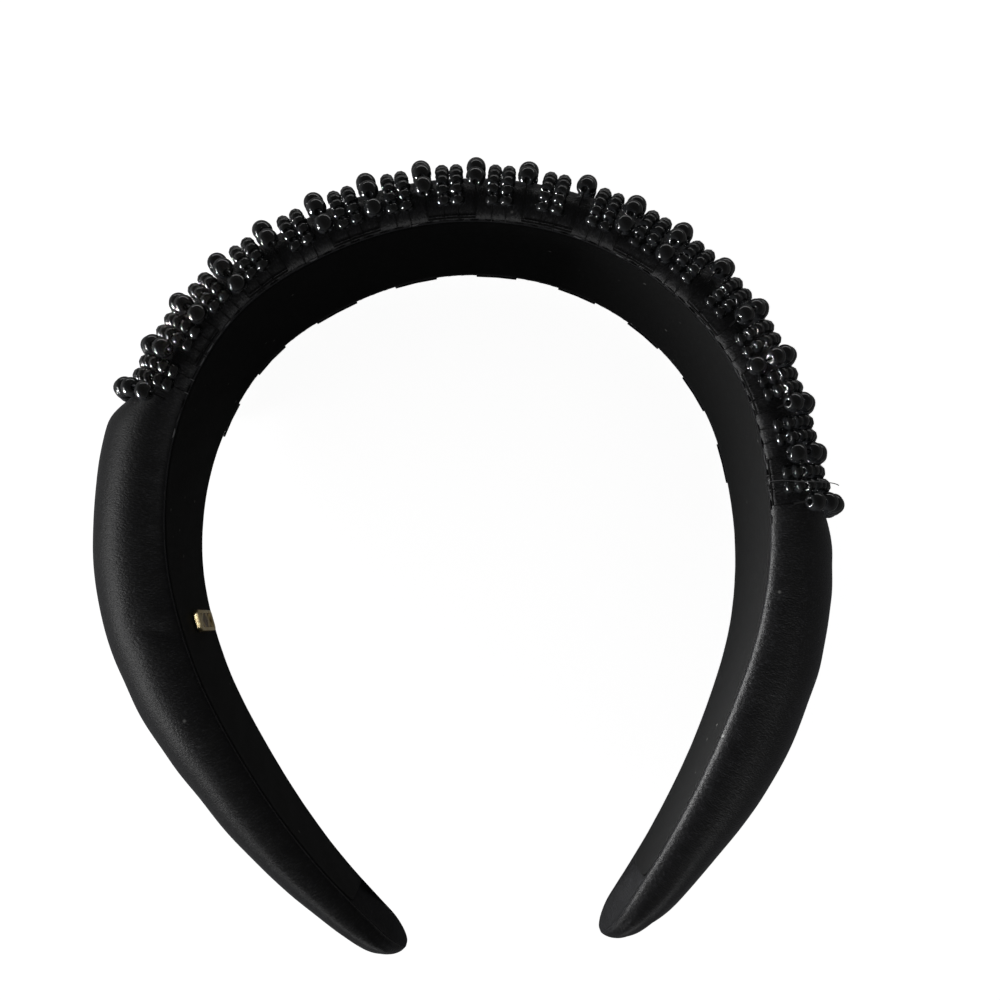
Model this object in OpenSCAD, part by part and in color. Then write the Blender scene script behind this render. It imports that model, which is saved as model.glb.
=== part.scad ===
// Padded headband: a foam-padded satin arch with rows of round beads and strings of seed beads
// sewn across its crown. It lies on one long edge, with the crown towards +Y and the arms towards -Y.

/* [Band] */
// Width between the seams of the two arms, where the arch is widest
inner_w = 130; // [116:1:150]
// Height of the arch at its inner face, from the arms' ends to the crown
inner_h = 158; // [140:1:176]
// Width of the inner face at the crown, from seam to seam
band_w = 40; // [32:0.5:48]
// Thickness of the padding at the sides of the arch
pad_t = 20; // [16:0.5:25]
// How far the padding swells past the seams
bulge = 2.5; // [1.2:0.1:4]
// Height of the padding's widest line above the inner face
swell_h = 5; // [3:0.1:7]
// Length over which the padding thins out to each end of the band
tip_l = 16; // [10:0.5:18]
// Length of the rounding of the ends' outline
nose_l = 7; // [5:0.5:10]
// Height of the ends' noses above the inner face
nose_h = 0.3; // [0:0.1:1.5]

/* [Beadwork] */
// Thickness of the padding under the beadwork
field_t = 14; // [11:0.1:16]
// Length over which the padding rises again beside the first row of beads
fade_first = 9; // [6:0.5:14]
// Length over which the padding rises again beside the last row of beads
fade_last = 20; // [10:1:28]
// How far ahead of the first row the padding has half risen
fade_ahead = 2; // [0:0.5:4]
// Where the first row of beads lies, as a share of the band's length
row_first = 0.3225; // [0.28:0.0025:0.4]
// Where the last row of beads lies, as a share of the band's length
row_last = 0.755; // [0.65:0.0025:0.77]
// Distance between two rows of beads at the seam
row_pitch = 9.8; // [9.4:0.1:14]
// Diameter of a round bead
bead_d = 4.4; // [3:0.1:4.6]
// Diameter of the hole in a round bead
bore_d = 0.9; // [0.7:0.05:1.2]
// Least gap between the beads of a row
bead_gap = 0.3; // [0.2:0.05:1]
// How much higher the round beads ride at the sides of the padding, where they are crowded
side_lift = 0.9; // [0.8:0.1:1.4]
// Diameter of a string of seed beads
seed_d = 2.9; // [1.8:0.1:3.0]
// Gap between the two strings of a pair
pair_gap = 0.25; // [0.2:0.05:0.4]
// Diameter of the thread in the rows of beads
thread_d = 0.5; // [0.3:0.05:0.6]
// Gap between the beadwork and the satin
bead_clear = 0.15; // [0.12:0.01:0.4]

/* [Lining] */
// Thickness of the lining
lining_t = 1.2; // [1:0.1:2]
// Depth of the lining's bed in the padding
bed_d = 1.3; // [0.8:0.1:2]
// Gap between the lining and its bed
lining_gap = 0.15; // [0.1:0.05:0.4]
// Width of the satin's edge between the seam and the lining's bed
edge_w = 0.8; // [0.5:0.1:1.5]
// Distance from the lining's ends to the ends of the band
lining_stop = 16; // [15:0.5:24]

/* [Metal tag] */
// Where the tag lies, as a share of the band's length
tag_at = 0.2095; // [0.15:0.0005:0.29]
// Length of the tag along the band
tag_l = 4.9; // [4:0.1:7]
// Width of the tag across the band
tag_w = 13; // [8:0.1:16]
// Thickness of the tag
tag_t = 1.3; // [0.8:0.1:2]
// Radius of the tag's corners
tag_r = 1.1; // [0.6:0.1:1.8]
// Width of the raised rim along the tag's long sides
tag_rim = 0.8; // [0.5:0.05:1.2]
// Width of the raised rim at the tag's short sides
tag_end = 1.8; // [0.8:0.1:2.4]
// Depth of the field inside the rim
tag_dish = 0.35; // [0.2:0.05:0.6]
// Gap between the tag and the lining
tag_gap = 0.25; // [0.2:0.05:0.4]
// How far the tag lies off the lining's centre line, away from the upper edge
tag_off = 3; // [0:0.5:6]

/* [Hidden] */

// Course of the inner face from the left arm's end over the crown to the right arm's end, at equal steps.
// Columns: sideways (share of inner_w / 2), height (share of inner_h)
COURSE = [
    [-0.203, 0.002], [-0.490, 0.124], [-0.722, 0.256], [-0.906, 0.400], [-0.998, 0.558], [-0.955, 0.722],
    [-0.768, 0.865], [-0.447, 0.957], [-0.073, 1.000], [0.320, 0.984], [0.665, 0.908], [0.905, 0.780],
    [0.998, 0.620], [0.976, 0.460], [0.850, 0.305], [0.670, 0.159], [0.446, 0.019]
];

// Padding along the band, before its ends are rounded. Columns: place (share of the length),
// width (share of band_w), thickness (share of pad_t, and of field_t under the beadwork)
PADDING = [
    [0.000, 0.46, 0.33], [0.050, 0.58, 0.46], [0.100, 0.71, 0.65], [0.150, 0.77, 0.82], [0.200, 0.78, 0.97],
    [0.250, 0.81, 1.00], [0.300, 0.92, 0.96], [0.330, 1.00, 0.98], [0.380, 1.05, 0.88], [0.430, 1.03, 0.95],
    [0.480, 1.00, 1.00], [0.650, 1.00, 0.99], [0.700, 1.00, 0.87], [0.735, 0.97, 0.87], [0.755, 0.95, 0.95],
    [0.780, 0.87, 0.83], [0.805, 0.79, 0.87], [0.830, 0.73, 0.95], [0.850, 0.68, 0.93], [0.880, 0.61, 0.88],
    [0.920, 0.57, 0.74], [0.960, 0.53, 0.53], [1.000, 0.46, 0.35]
];

// Where the rows begin beside the upper edge: a few have lost beads there. Columns: row, angle around
// the padding's section, from its widest line over the top
ROW_STARTS = [
    [1, 6], [2, 9], [3, -3], [4, -18], [5, 8], [6, -5], [7, -9], [8, 5], [9, 12], [10, 19],
    [11, 27], [12, 0], [13, -8], [14, 22], [15, 6], [16, -17], [17, 10], [18, 2], [19, 13]
];

// How far the rows lie off even places. Columns: row, share of the row pitch towards the right arm
SHIFTED = [
    [1, 0], [2, -0.10], [3, -0.20], [4, -0.24], [5, -0.23], [6, -0.10], [8, 0.02], [9, 0.05], [10, 0.05],
    [11, 0.16], [13, 0.14], [15, 0.11], [16, 0.10], [17, 0.02], [19, 0]
];

// Angles around the padding's section: where the rows end, the strings' points and the stitches
row_to = 156;
seed_angles = [-28, -13, 2, 17, 33, 51, 71, 92, 113, 133, 151, 169, 190];
seed_turn = 14;
stitch_angles = [-36, -60];

// Counts of facets
course_steps = 12;
field_rings = 25;
left_rings = 13;
right_rings = 9;
first_rings = 4;
last_rings = 6;
seed_sides = 6;
thread_sides = 4;
arc_steps = 48;

satin_black = [0.07, 0.07, 0.08];
lining_black = [0.04, 0.04, 0.045];
bead_grey = [0.16, 0.16, 0.17];
seed_grey = [0.12, 0.12, 0.13];
thread_black = [0.1, 0.1, 0.1];
tag_gold = [0.83, 0.66, 0.33];

function total(v) = [for (x = v) 1] * v;
function running(v) = [for (i = 0, a = 0; i <= len(v); a = a + (i < len(v) ? v[i] : 0), i = i + 1) a];
function step_up(x) = let (c = min(1, max(0, x))) c * c * (3 - 2 * c);
function column(table, n) = [for (row = table) [row[0], row[n]]];

// The course as a smooth curve through its points (Catmull-Rom), and its length
last_step = len(COURSE) - 1;
function stop_at(i) =
    i < 0 ? 2 * stop_at(0) - stop_at(1)
    : i > last_step ? 2 * stop_at(last_step) - stop_at(last_step - 1)
    : [COURSE[i].x * inner_w / 2, COURSE[i].y * inner_h];
function span_point(i, f) =
    let (a = stop_at(i - 1), b = stop_at(i), c = stop_at(i + 1), d = stop_at(i + 2))
    b + f / 2 * ((c - a) + f * ((2 * a - 5 * b + 4 * c - d) + f * (3 * b - a - 3 * c + d)));
function span_way(i, f) =
    let (a = stop_at(i - 1), b = stop_at(i), c = stop_at(i + 1), d = stop_at(i + 2))
    (c - a) / 2 + f * ((2 * a - 5 * b + 4 * c - d) + 1.5 * f * (3 * b - a - 3 * c + d));
course_marks = [for (i = [0:last_step * course_steps]) i / course_steps];
course_line = [for (u = course_marks)
    let (i = min(floor(u), last_step - 1)) span_point(i, u - i)];
course_runs = running([for (i = [1:len(course_line) - 1]) norm(course_line[i] - course_line[i - 1])]);
run_to_mark = [for (i = [0:len(course_marks) - 1]) [course_runs[i], course_marks[i]]];
band_l = course_runs[len(course_runs) - 1];

function course_at(s) =
    let (u = lookup(s, run_to_mark), i = min(floor(u), last_step - 1)) span_point(i, u - i);
function outward_at(s) =
    let (u = lookup(s, run_to_mark), i = min(floor(u), last_step - 1), w = span_way(i, u - i))
    [-w.y, w.x] / norm(w);

// A point of the band: s along the course, a across it (up), b outward from the inner face
function place(s, a, b) =
    let (p = course_at(s) + b * outward_at(s)) [p.x, p.y, a];

// Size of the padding at s: widths and thicknesses are eased between the rows of the table
ease = 0.02;
function eased(table, x) =
    total([for (k = [-2:2]) (3 - abs(k)) / 9 * lookup(x + k * ease, table)]);
wide_table = column(PADDING, 1);
thick_table = column(PADDING, 2);
first_s = row_first * band_l;
last_s = row_last * band_l;
function pressed(s) =
    step_up((s - first_s + fade_ahead) / fade_first + 0.5) * step_up((last_s - s) / fade_last + 0.5);
function round_off(s, l) =
    let (f = 1 - min(1, max(0, min(s, band_l - s) / l))) sqrt(max(0, 1 - f * f));
function face_w(s) = band_w * eased(wide_table, s / band_l) * round_off(s, nose_l);
function base_h(s) = nose_h * (1 - round_off(s, nose_l));
function full_t(s) =
    let (p = pressed(s)) (p * field_t + (1 - p) * pad_t) * eased(thick_table, s / band_l);
function pad_h(s) = base_h(s) + (full_t(s) - base_h(s)) * round_off(s, tip_l);
function swell(s) = bulge * round_off(s, nose_l);
function waist_h(s) = min(swell_h, 0.45 * full_t(s)) * round_off(s, tip_l);

// Skin of the padding in its section at s: angle 0 and 180 at the widest lines, 90 at the top
function skin(s, g) =
    let (w = face_w(s) / 2, h = base_h(s) + waist_h(s), side = g > 90 ? -1 : 1)
    sin(g) >= 0
        ? [(w + swell(s)) * cos(g), h + (pad_h(s) - h) * sin(g)]
        : [side * w + swell(s) * cos(g), h + waist_h(s) * sin(g)];
function skin_out(s, g) =
    let (h = waist_h(s), v = sin(g) >= 0
        ? [(pad_h(s) - base_h(s) - h) * cos(g), (face_w(s) / 2 + swell(s)) * sin(g)]
        : [h * cos(g), swell(s) * sin(g)])
    v / norm(v);
// Slope of the skin along the band: what lies on it is lifted by the slope's secant
function lift(s) =
    let (m = max(abs(pad_h(s + 1) - pad_h(s - 1)), abs(face_w(s + 1) - face_w(s - 1)) / 2) / 2)
    sqrt(1 + m * m);
function above(s, g, h) = skin(s, g) + h * lift(s) * skin_out(s, g);

// Solid from a stack of rings, each with the same number of points, closed by flat ends
module ringed(rings) {
    n = len(rings[0]);
    last = len(rings) - 1;
    mid = floor(n / 2);
    polyhedron(
        points = [for (ring = rings) each ring],
        faces = [
            for (i = [0:last - 1], k = [0:n - 1])
                let (a = i * n + k, b = i * n + (k + 1) % n)
                each [[a, b, a + n], [b, b + n, a + n]],
            for (k = [1:n - 2])
                let (a = (mid + k) % n, b = (mid + k + 1) % n)
                each [[mid, b, a], [last * n + mid, last * n + a, last * n + b]]
        ],
        convexity = 10
    );
}

// Rings along the band: dense in the rounded ends and beside the beadwork
function even(from, to, n) = [for (i = [0:n - 1]) from + (to - from) * i / n];
field_from = first_s - fade_ahead - fade_first / 2;
field_to = last_s + fade_last / 2;
tip_angles = [14, 34, 52, 70];
ring_places = concat(
    [for (a = tip_angles) tip_l * (1 - cos(a))],
    even(tip_l, field_from, left_rings),
    even(field_from, field_from + fade_first, first_rings),
    even(field_from + fade_first, last_s - fade_last / 2, field_rings),
    even(last_s - fade_last / 2, field_to, last_rings),
    even(field_to, band_l - tip_l, right_rings),
    [for (i = [0:len(tip_angles)]) band_l - tip_l * (1 - (i == 0 ? 0 : cos(tip_angles[len(tip_angles) - i])))]
);

// Angles of the skin's points in a ring, from the upper seam over the top to the lower seam
skin_angles = [-90, -50, 0, 16, 33, 51, 70, 90, 110, 129, 147, 164, 180, 230, 270];

function pad_ring(s) =
    let (
        w = face_w(s) / 2,
        e = min(edge_w, w / 3),
        d = lining_room(s) * bed_d
    )
    [
        for (g = skin_angles) let (p = skin(s, g)) place(s, p.x, p.y),
        place(s, -w + e, base_h(s) + d),
        place(s, w - e, base_h(s) + d)
    ];
// 1 where the lining lies, falling to 0 at its ends
function lining_room(s) = step_up((min(s, band_l - s) - nose_l) / (lining_stop - nose_l));

module satin_pad() {
    color(satin_black) rest() ringed([for (s = ring_places) pad_ring(s)]);
}

function lining_ring(s) =
    let (
        w = face_w(s) / 2 - edge_w - lining_gap,
        top = bed_d - lining_gap,
        low = top - lining_t,
        r = lining_t / 3
    )
    [
        place(s, w, top), place(s, -w, top),
        place(s, -w, low + r), place(s, r - w, low),
        place(s, w - r, low), place(s, w, low + r)
    ];
// Least distance of the lining's second ring from its end
ring_gap = 1;
lining_places = concat(
    [lining_stop],
    [for (s = ring_places) if (min(s, band_l - s) > lining_stop + ring_gap) s],
    [band_l - lining_stop]
);

module lining() {
    color(lining_black) rest() ringed([for (s = lining_places) lining_ring(s)]);
}

module gold_tag() {
    s = tag_at * band_l;
    out = outward_at(s);
    p = place(s, -tag_off, bed_d - lining_gap - lining_t - tag_gap);
    color(tag_gold) rest() translate(p) rotate([0, 0, atan2(out.y, out.x)]) rotate([0, -90, 0])
        rotate([0, 0, 90]) difference() {
            rounded_plate(tag_l, tag_w, tag_r, tag_t);
            translate([0, 0, tag_t - tag_dish])
                rounded_plate(tag_l - 2 * tag_rim, tag_w - 2 * tag_end, max(tag_r / 3, tag_r - tag_rim), tag_t);
        }
}

module rounded_plate(l, w, r, h) {
    linear_extrude(h) {
        for (x = [-1, 1], y = [-1, 1]) translate([x * (l / 2 - r), y * (w / 2 - r)]) circle(r, $fn = 24);
        square([l, w - 2 * r], center = true);
        square([l - 2 * r, w], center = true);
    }
}

// Rows of round beads
row_count = round((last_s - first_s) / row_pitch) + 1;
real_pitch = (last_s - first_s) / (row_count - 1);
function row_s(i) = first_s + real_pitch * (i + lookup(i + 1, SHIFTED));
function row_start(i) = lookup(i + 1, ROW_STARTS);

// A bead's centre in the section, and the way of its bore along the row
function row_h(g) = bead_clear + bead_d / 2 + side_lift * pow(1 - max(0, sin(g)), 2);
function bead_mid(i, g) = above(row_s(i), g, row_h(g));
function bead_way(i, g) = let (d = bead_mid(i, g + 1) - bead_mid(i, g - 1)) d / norm(d);

// For each row, the angles of its beads: at equal distances along the row
row_angles = [for (i = [0:row_count - 1])
    let (
        from = row_start(i),
        marks = [for (k = [0:arc_steps]) from + (row_to - from) * k / arc_steps],
        line = [for (g = marks) bead_mid(i, g)],
        runs = running([for (k = [1:arc_steps]) norm(line[k] - line[k - 1])]),
        run_to_angle = [for (k = [0:arc_steps]) [runs[k], marks[k]]],
        n = max(1, floor(runs[arc_steps] / (bead_d + bead_gap)))
    )
    [for (k = [0:n]) lookup(runs[arc_steps] * k / n, run_to_angle)]];

module large_bead(centre, way) {
    translate(centre) rotate([0, acos(way.z), atan2(way.y, way.x)]) difference() {
        sphere(d = bead_d, $fn = 24);
        cylinder(d = bore_d, h = bead_d + 1, center = true, $fn = 16);
    }
}

module large_beads() {
    color(bead_grey) rest() for (i = [0:row_count - 1], g = row_angles[i]) {
        s = row_s(i);
        mid = bead_mid(i, g);
        way = bead_way(i, g);
        out = outward_at(s);
        large_bead(place(s, mid.x, mid.y), [way.y * out.x, way.y * out.y, way.x]);
    }
}

// Round tube along a path of [point, direction away from the satin]: each ring stands square to the path
function along(path, r, sides) =
    let (last = len(path) - 1)
    [for (k = [0:last])
        let (
            way = path[min(last, k + 1)][0] - path[max(0, k - 1)][0],
            side = cross(path[k][1], way),
            up = cross(way, side)
        )
        [for (m = [0:sides - 1])
            let (a = 360 * (m + 0.5) / sides)
            path[k][0] + r * (up / norm(up) * cos(a) + side / norm(side) * sin(a))
        ]
    ];
// A point h above the skin, and the direction away from it
function away(s, g) = let (o = skin_out(s, g), out = outward_at(s)) [o.y * out.x, o.y * out.y, o.x];
function on_skin(s, g, h) = let (p = above(s, g, h)) [place(s, p.x, p.y), away(s, g)];
function turned(v) = [for (k = [1:len(v)]) v[len(v) - k]];

// Where the bores of two neighbouring beads would meet
function crossing(p, v, q, w) =
    let (d = v.x * w.y - v.y * w.x, r = q - p) p + v * (r.x * w.y - r.y * w.x) / d;
// Below a row's first bead the bare thread lies on the satin: its points are bare_step degrees apart
// and stop bare_stop degrees short of the bead
bare_step = 12;
bare_stop = 14;
thread_tail = 0.4;
thread_h = 2 * bead_clear + thread_d / 2;
function thread_line(i) =
    let (
        s = row_s(i),
        angles = row_angles[i],
        last = len(angles) - 1,
        mids = [for (g = angles) bead_mid(i, g)],
        ways = [for (g = angles) bead_way(i, g)],
        tail = bead_d / 2 + thread_tail,
        line = [
            mids[0] - ways[0] * tail,
            for (k = [1:last]) crossing(mids[k - 1], ways[k - 1], mids[k], ways[k]),
            mids[last] + ways[last] * tail
        ]
    )
    [
        for (g = [stitch_angles[0] / 2:bare_step:angles[0] - bare_stop]) on_skin(s, g, thread_h),
        for (k = [0:last + 1]) [place(s, line[k].x, line[k].y), away(s, angles[min(k, last)])]
    ];

// The rows hang on one thread. It comes out below a row's last bead, runs along the seam as a long
// stitch, by turns on the upper and the lower side, and goes up into the next row.
function stitch(i) =
    let (
        near = i % 2 == 1,
        angles = [for (g = stitch_angles) near ? g : 180 - g],
        s = row_s(i),
        next = row_s(i + 1)
    )
    [
        for (g = angles) on_skin(s, g, thread_h),
        on_skin((s + next) / 2, angles[1], thread_h),
        for (g = turned(angles)) on_skin(next, g, thread_h)
    ];
thread_path = [for (i = [0:row_count - 1]) each concat(
    i % 2 == 0 ? thread_line(i) : turned(thread_line(i)),
    i < row_count - 1 ? stitch(i) : []
)];

module bead_threads() {
    color(thread_black) rest() ringed(along(thread_path, thread_d / 2, thread_sides));
}

// Strings of seed beads: each runs across the band, turns at the lower seam and runs back beside itself
seed_h = bead_clear + seed_d / 2;
last_angle = seed_angles[len(seed_angles) - 1];
// How far along the course a string lies off the pair's middle: less where the skin is further out
function pair_off(s, g) =
    let (b = skin(s, g).y + seed_h)
    (seed_d + pair_gap) / 2 / norm(place(s + 0.5, 0, b) - place(s - 0.5, 0, b));
function string_path(i) =
    let (mid = (row_s(i) + row_s(i + 1)) / 2)
    [
        for (g = seed_angles) on_skin(mid - pair_off(mid, g), g, seed_h),
        for (q = [45, 90, 135])
            let (g = last_angle + seed_turn * sin(q)) on_skin(mid - pair_off(mid, g) * cos(q), g, seed_h),
        for (g = turned(seed_angles)) on_skin(mid + pair_off(mid, g), g, seed_h)
    ];
seed_tubes = [for (i = [0:row_count - 2]) along(string_path(i), seed_d / 2, seed_sides)];

module seed_strings() {
    color(seed_grey) rest() for (rings = seed_tubes) ringed(rings);
}

// The band rests on its lower edge, with the middle of its length and width at the origin
pad_points = [for (s = ring_places) each pad_ring(s)];
bead_points = [for (i = [0:row_count - 1], g = row_angles[i])
    let (p = bead_mid(i, g)) place(row_s(i), p.x, p.y)];
seed_points = [for (rings = seed_tubes, ring = rings) each ring];
function lows(v, n) = min([for (p = v) p[n]]);
function highs(v, n) = max([for (p = v) p[n]]);
r_bead = [1, 1, 1] * bead_d / 2;
low = [for (n = [0:2]) min(lows(pad_points, n), lows(seed_points, n), lows(bead_points, n) - r_bead[n])];
high = [for (n = [0:2]) max(highs(pad_points, n), highs(seed_points, n), highs(bead_points, n) + r_bead[n])];

module rest() {
    translate([-(low.x + high.x) / 2, -(low.y + high.y) / 2, -low.z]) children();
}

satin_pad();
lining();
gold_tag();
large_beads();
bead_threads();
seed_strings();
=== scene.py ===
"""A padded headband in black satin, with round beads and strings of seed beads sewn across its crown."""

import math

import bpy
import numpy as np
from mathutils import Matrix


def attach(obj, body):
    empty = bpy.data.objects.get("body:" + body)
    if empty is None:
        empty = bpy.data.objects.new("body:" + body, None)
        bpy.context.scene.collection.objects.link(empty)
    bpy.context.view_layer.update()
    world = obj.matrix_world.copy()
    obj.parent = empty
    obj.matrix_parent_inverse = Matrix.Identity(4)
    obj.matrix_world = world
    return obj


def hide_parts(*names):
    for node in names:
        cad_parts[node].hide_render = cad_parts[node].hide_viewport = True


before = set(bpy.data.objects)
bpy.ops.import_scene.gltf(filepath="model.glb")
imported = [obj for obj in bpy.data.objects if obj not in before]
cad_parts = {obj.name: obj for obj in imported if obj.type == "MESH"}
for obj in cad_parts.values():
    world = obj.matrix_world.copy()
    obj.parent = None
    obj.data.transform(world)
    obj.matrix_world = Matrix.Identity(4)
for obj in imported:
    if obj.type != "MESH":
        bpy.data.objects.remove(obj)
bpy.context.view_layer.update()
world = bpy.context.scene

# ---------------------------------------------------------------- Camera
# The photograph was taken from above, a little in front of the band, with the arms' ends at the bottom.
# Straight down runs to a point below the picture's middle, which gives the camera's tilt and roll.

focal_px, picture_px = 1160.0, 1000.0
down_at = np.array([485.0, 620.0])
eye = np.array([0.003721, -0.016546, 0.292102])

middle_px = picture_px / 2
down = np.array([(down_at[0] - middle_px) / focal_px, (middle_px - down_at[1]) / focal_px, -1.0])
up_seen = -down / np.linalg.norm(down)
back_seen = np.array([0.0, 1.0, 0.0]) - up_seen[1] * up_seen
back_seen /= np.linalg.norm(back_seen)
turn = np.column_stack([np.cross(back_seen, up_seen), back_seen, up_seen])

lens = bpy.data.cameras.new("camera")
lens.sensor_width = 36.0
lens.lens = focal_px / picture_px * lens.sensor_width
lens.clip_start = 0.01
camera = bpy.data.objects.new("camera", lens)
world.collection.objects.link(camera)
stand = np.eye(4)
stand[:3, :3], stand[:3, 3] = turn.T, eye
camera.matrix_world = Matrix(stand.tolist())
world.camera = camera

# ---------------------------------------------------------------- Floor and light
# A white table in a dim room, lit by a window on the left, a long low strip behind the crown and two weak
# wide walls, which leave the beads dark. Three small lamps light single pieces only: one gives each bead its
# bright point, one lights the right arm's inner side, and one is the bright room that the metal tag mirrors.

white_seen = 0.93  # how bright the camera sees the table and what is round it

world.view_settings.view_transform = "Standard"
world.view_settings.look = "None"


def wire(tree, kind, inputs=None, **settings):
    """Adds a node of that kind to a node tree. Each input takes a value, or another node's output."""
    node = tree.nodes.new(kind)
    for key, value in settings.items():
        setattr(node, key, value)
    for key, value in (inputs or {}).items():
        if isinstance(value, bpy.types.NodeSocket):
            tree.links.new(value, node.inputs[key])
        else:
            node.inputs[key].default_value = value
    return node


def ramp(tree, value, stops):
    """A colour ramp over value. Each stop is a place from 0 to 1 and a grey level or a colour."""
    node = wire(tree, "ShaderNodeValToRGB", {"Fac": value})
    bar = node.color_ramp.elements
    while len(bar) < len(stops):
        bar.new(0.5)
    for mark, (at, shade) in zip(bar, stops):
        mark.position = at
        mark.color = (*([shade] * 3 if np.isscalar(shade) else shade), 1.0)
    return node.outputs["Color"]


def finish_of(name, **sockets):
    """A new material: a Principled shader with the given plain values. Returns material, tree, shader."""
    made = bpy.data.materials.new(name)
    made.use_nodes = True
    shader = made.node_tree.nodes["Principled BSDF"]
    for key, value in sockets.items():
        shader.inputs[key.replace("_", " ")].default_value = value
    return made, made.node_tree, shader


table_white, tree, shader = finish_of("table_white", Roughness=0.85, Specular_IOR_Level=0.2)
object_map = wire(tree, "ShaderNodeTexCoord").outputs["Object"]
cloudy = wire(tree, "ShaderNodeTexNoise", {"Vector": object_map, "Scale": 3.0})
tree.links.new(ramp(tree, cloudy.outputs["Fac"], [(0.3, 0.78), (0.7, 0.82)]), shader.inputs["Base Color"])
shader.inputs["Emission Color"].default_value = (1, 1, 1, 1)
seen = wire(tree, "ShaderNodeLightPath").outputs["Is Camera Ray"]
overlit = wire(tree, "ShaderNodeMath", {0: seen, 1: white_seen}, operation="MULTIPLY")
tree.links.new(overlit.outputs[0], shader.inputs["Emission Strength"])

reach = 3.0
floor_mesh = bpy.data.meshes.new("floor")
floor_mesh.from_pydata([(-reach, -reach, 0), (reach, -reach, 0), (reach, reach, 0), (-reach, reach, 0)],
                       [], [(0, 1, 2, 3)])
floor_mesh.materials.append(table_white)
floor = bpy.data.objects.new("floor", floor_mesh)
world.collection.objects.link(floor)

surround = bpy.data.worlds.new("surround")
world.world = surround
surround.use_nodes = True
tree = surround.node_tree
sky_map = wire(tree, "ShaderNodeTexCoord").outputs["Generated"]
height = wire(tree, "ShaderNodeSeparateXYZ", {"Vector": sky_map})
glow = ramp(tree, height.outputs["Z"], [(0.0, 0.20), (0.10, 0.16), (0.4, 0.11), (1.0, 0.09)])
seen = wire(tree, "ShaderNodeLightPath").outputs["Is Camera Ray"]
seen_white = wire(tree, "ShaderNodeMixRGB",
                  {"Fac": seen, "Color1": glow, "Color2": (white_seen, white_seen, white_seen, 1.0)})
tree.links.new(seen_white.outputs[0], tree.nodes["Background"].inputs["Color"])
tree.nodes["Background"].inputs["Strength"].default_value = 1.0


def softbox(name, place, aim, width, height, watts):
    """A rectangular area light at place, facing aim, in metres and watts."""
    lamp = bpy.data.lights.new(name, "AREA")
    lamp.shape, lamp.size, lamp.size_y, lamp.energy = "RECTANGLE", width, height, watts
    made = bpy.data.objects.new(name, lamp)
    made.visible_camera = False
    world.collection.objects.link(made)
    way = np.array(place, float) - np.array(aim, float)
    way /= np.linalg.norm(way)
    side = np.cross([0, 0, 1], way)
    side /= np.linalg.norm(side)
    pose = np.eye(4)
    pose[:3, :3] = np.column_stack([side, np.cross(way, side), way])
    pose[:3, 3] = place
    made.matrix_world = Matrix(pose.tolist())
    return made


def only_on(lamp, *pieces, shades=()):
    """The lamp lights these pieces alone. If shades are given, only they stand in its way, so it may stand
    below the floor or behind a piece; sampling it as a lamp only keeps its mirror image there."""
    lit = bpy.data.collections.new(lamp.name + " lit")
    for piece in pieces:
        lit.objects.link(piece)
    lamp.light_linking.receiver_collection = lit
    if shades:
        lamp.data.cycles.use_multiple_importance_sampling = False
        lamp.light_linking.blocker_collection = bpy.data.collections.new(lamp.name + " shades")
        for piece in shades:
            lamp.light_linking.blocker_collection.objects.link(piece)


# Each lamp: its name, where it stands, what it faces, its width, height and watts
softbox("window", (-0.92, -0.26, 0.14), (-0.02, 0.03, 0.03), 0.34, 0.20, 2.0)
softbox("rear strip", (0.10, 0.90, 0.08), (0.0, 0.05, 0.03), 1.80, 0.06, 1.8)
left_wall = softbox("left wall", (-1.10, 0.0, 0.20), (0.0, 0.0, 0.02), 1.40, 0.40, 2.2)
front_wall = softbox("front wall", (0.05, -0.98, 0.32), (0.0, -0.06, 0.02), 1.20, 0.36, 4.5)
bead_window = softbox("bead window", (-0.81, -0.43, -0.17), (0.0, 0.05, 0.04), 0.24, 0.32, 38.0)
inner_light = softbox("inner light", (0.0, -0.02, 0.035), (0.097, -0.045, 0.03), 0.05, 0.03, 0.08)
tag_light = softbox("tag light", (-0.16, 0.02, 0.30), (-0.06, -0.03, 0.02), 0.20, 0.14, 0.16)

# ---------------------------------------------------------------- Satin padding
# Foam on a stiff core, in black satin that is pulled round to a seam along each edge of the inner face.
# It is fat on the arms, pressed flatter by the beadwork, and gathered at its tongue-shaped ends.

# Sizes in millimetres, as the solids have them; `place` turns them into metres
inner_w, inner_h, band_w, pad_t = 130.0, 158.0, 40.0, 20.0
bulge, swell_h, tip_l, nose_l, nose_h = 2.5, 5.0, 16.0, 7.0, 0.3
field_t, fade_first, fade_last, fade_ahead = 14.0, 9.0, 20.0, 2.0
row_first, row_last = 0.3225, 0.755
bed_d, edge_w, lining_stop = 1.3, 0.8, 16.0
rest_shift = np.array([-0.0793, -88.0463725, 26.0808])

# The inner face's course from the left end over the crown to the right end: shares of half the width
# and of the height, at equal steps
course = np.array([
    [-0.203, 0.002], [-0.490, 0.124], [-0.722, 0.256], [-0.906, 0.400], [-0.998, 0.558], [-0.955, 0.722],
    [-0.768, 0.865], [-0.447, 0.957], [-0.073, 1.000], [0.320, 0.984], [0.665, 0.908], [0.905, 0.780],
    [0.998, 0.620], [0.976, 0.460], [0.850, 0.305], [0.670, 0.159], [0.446, 0.019],
])

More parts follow.
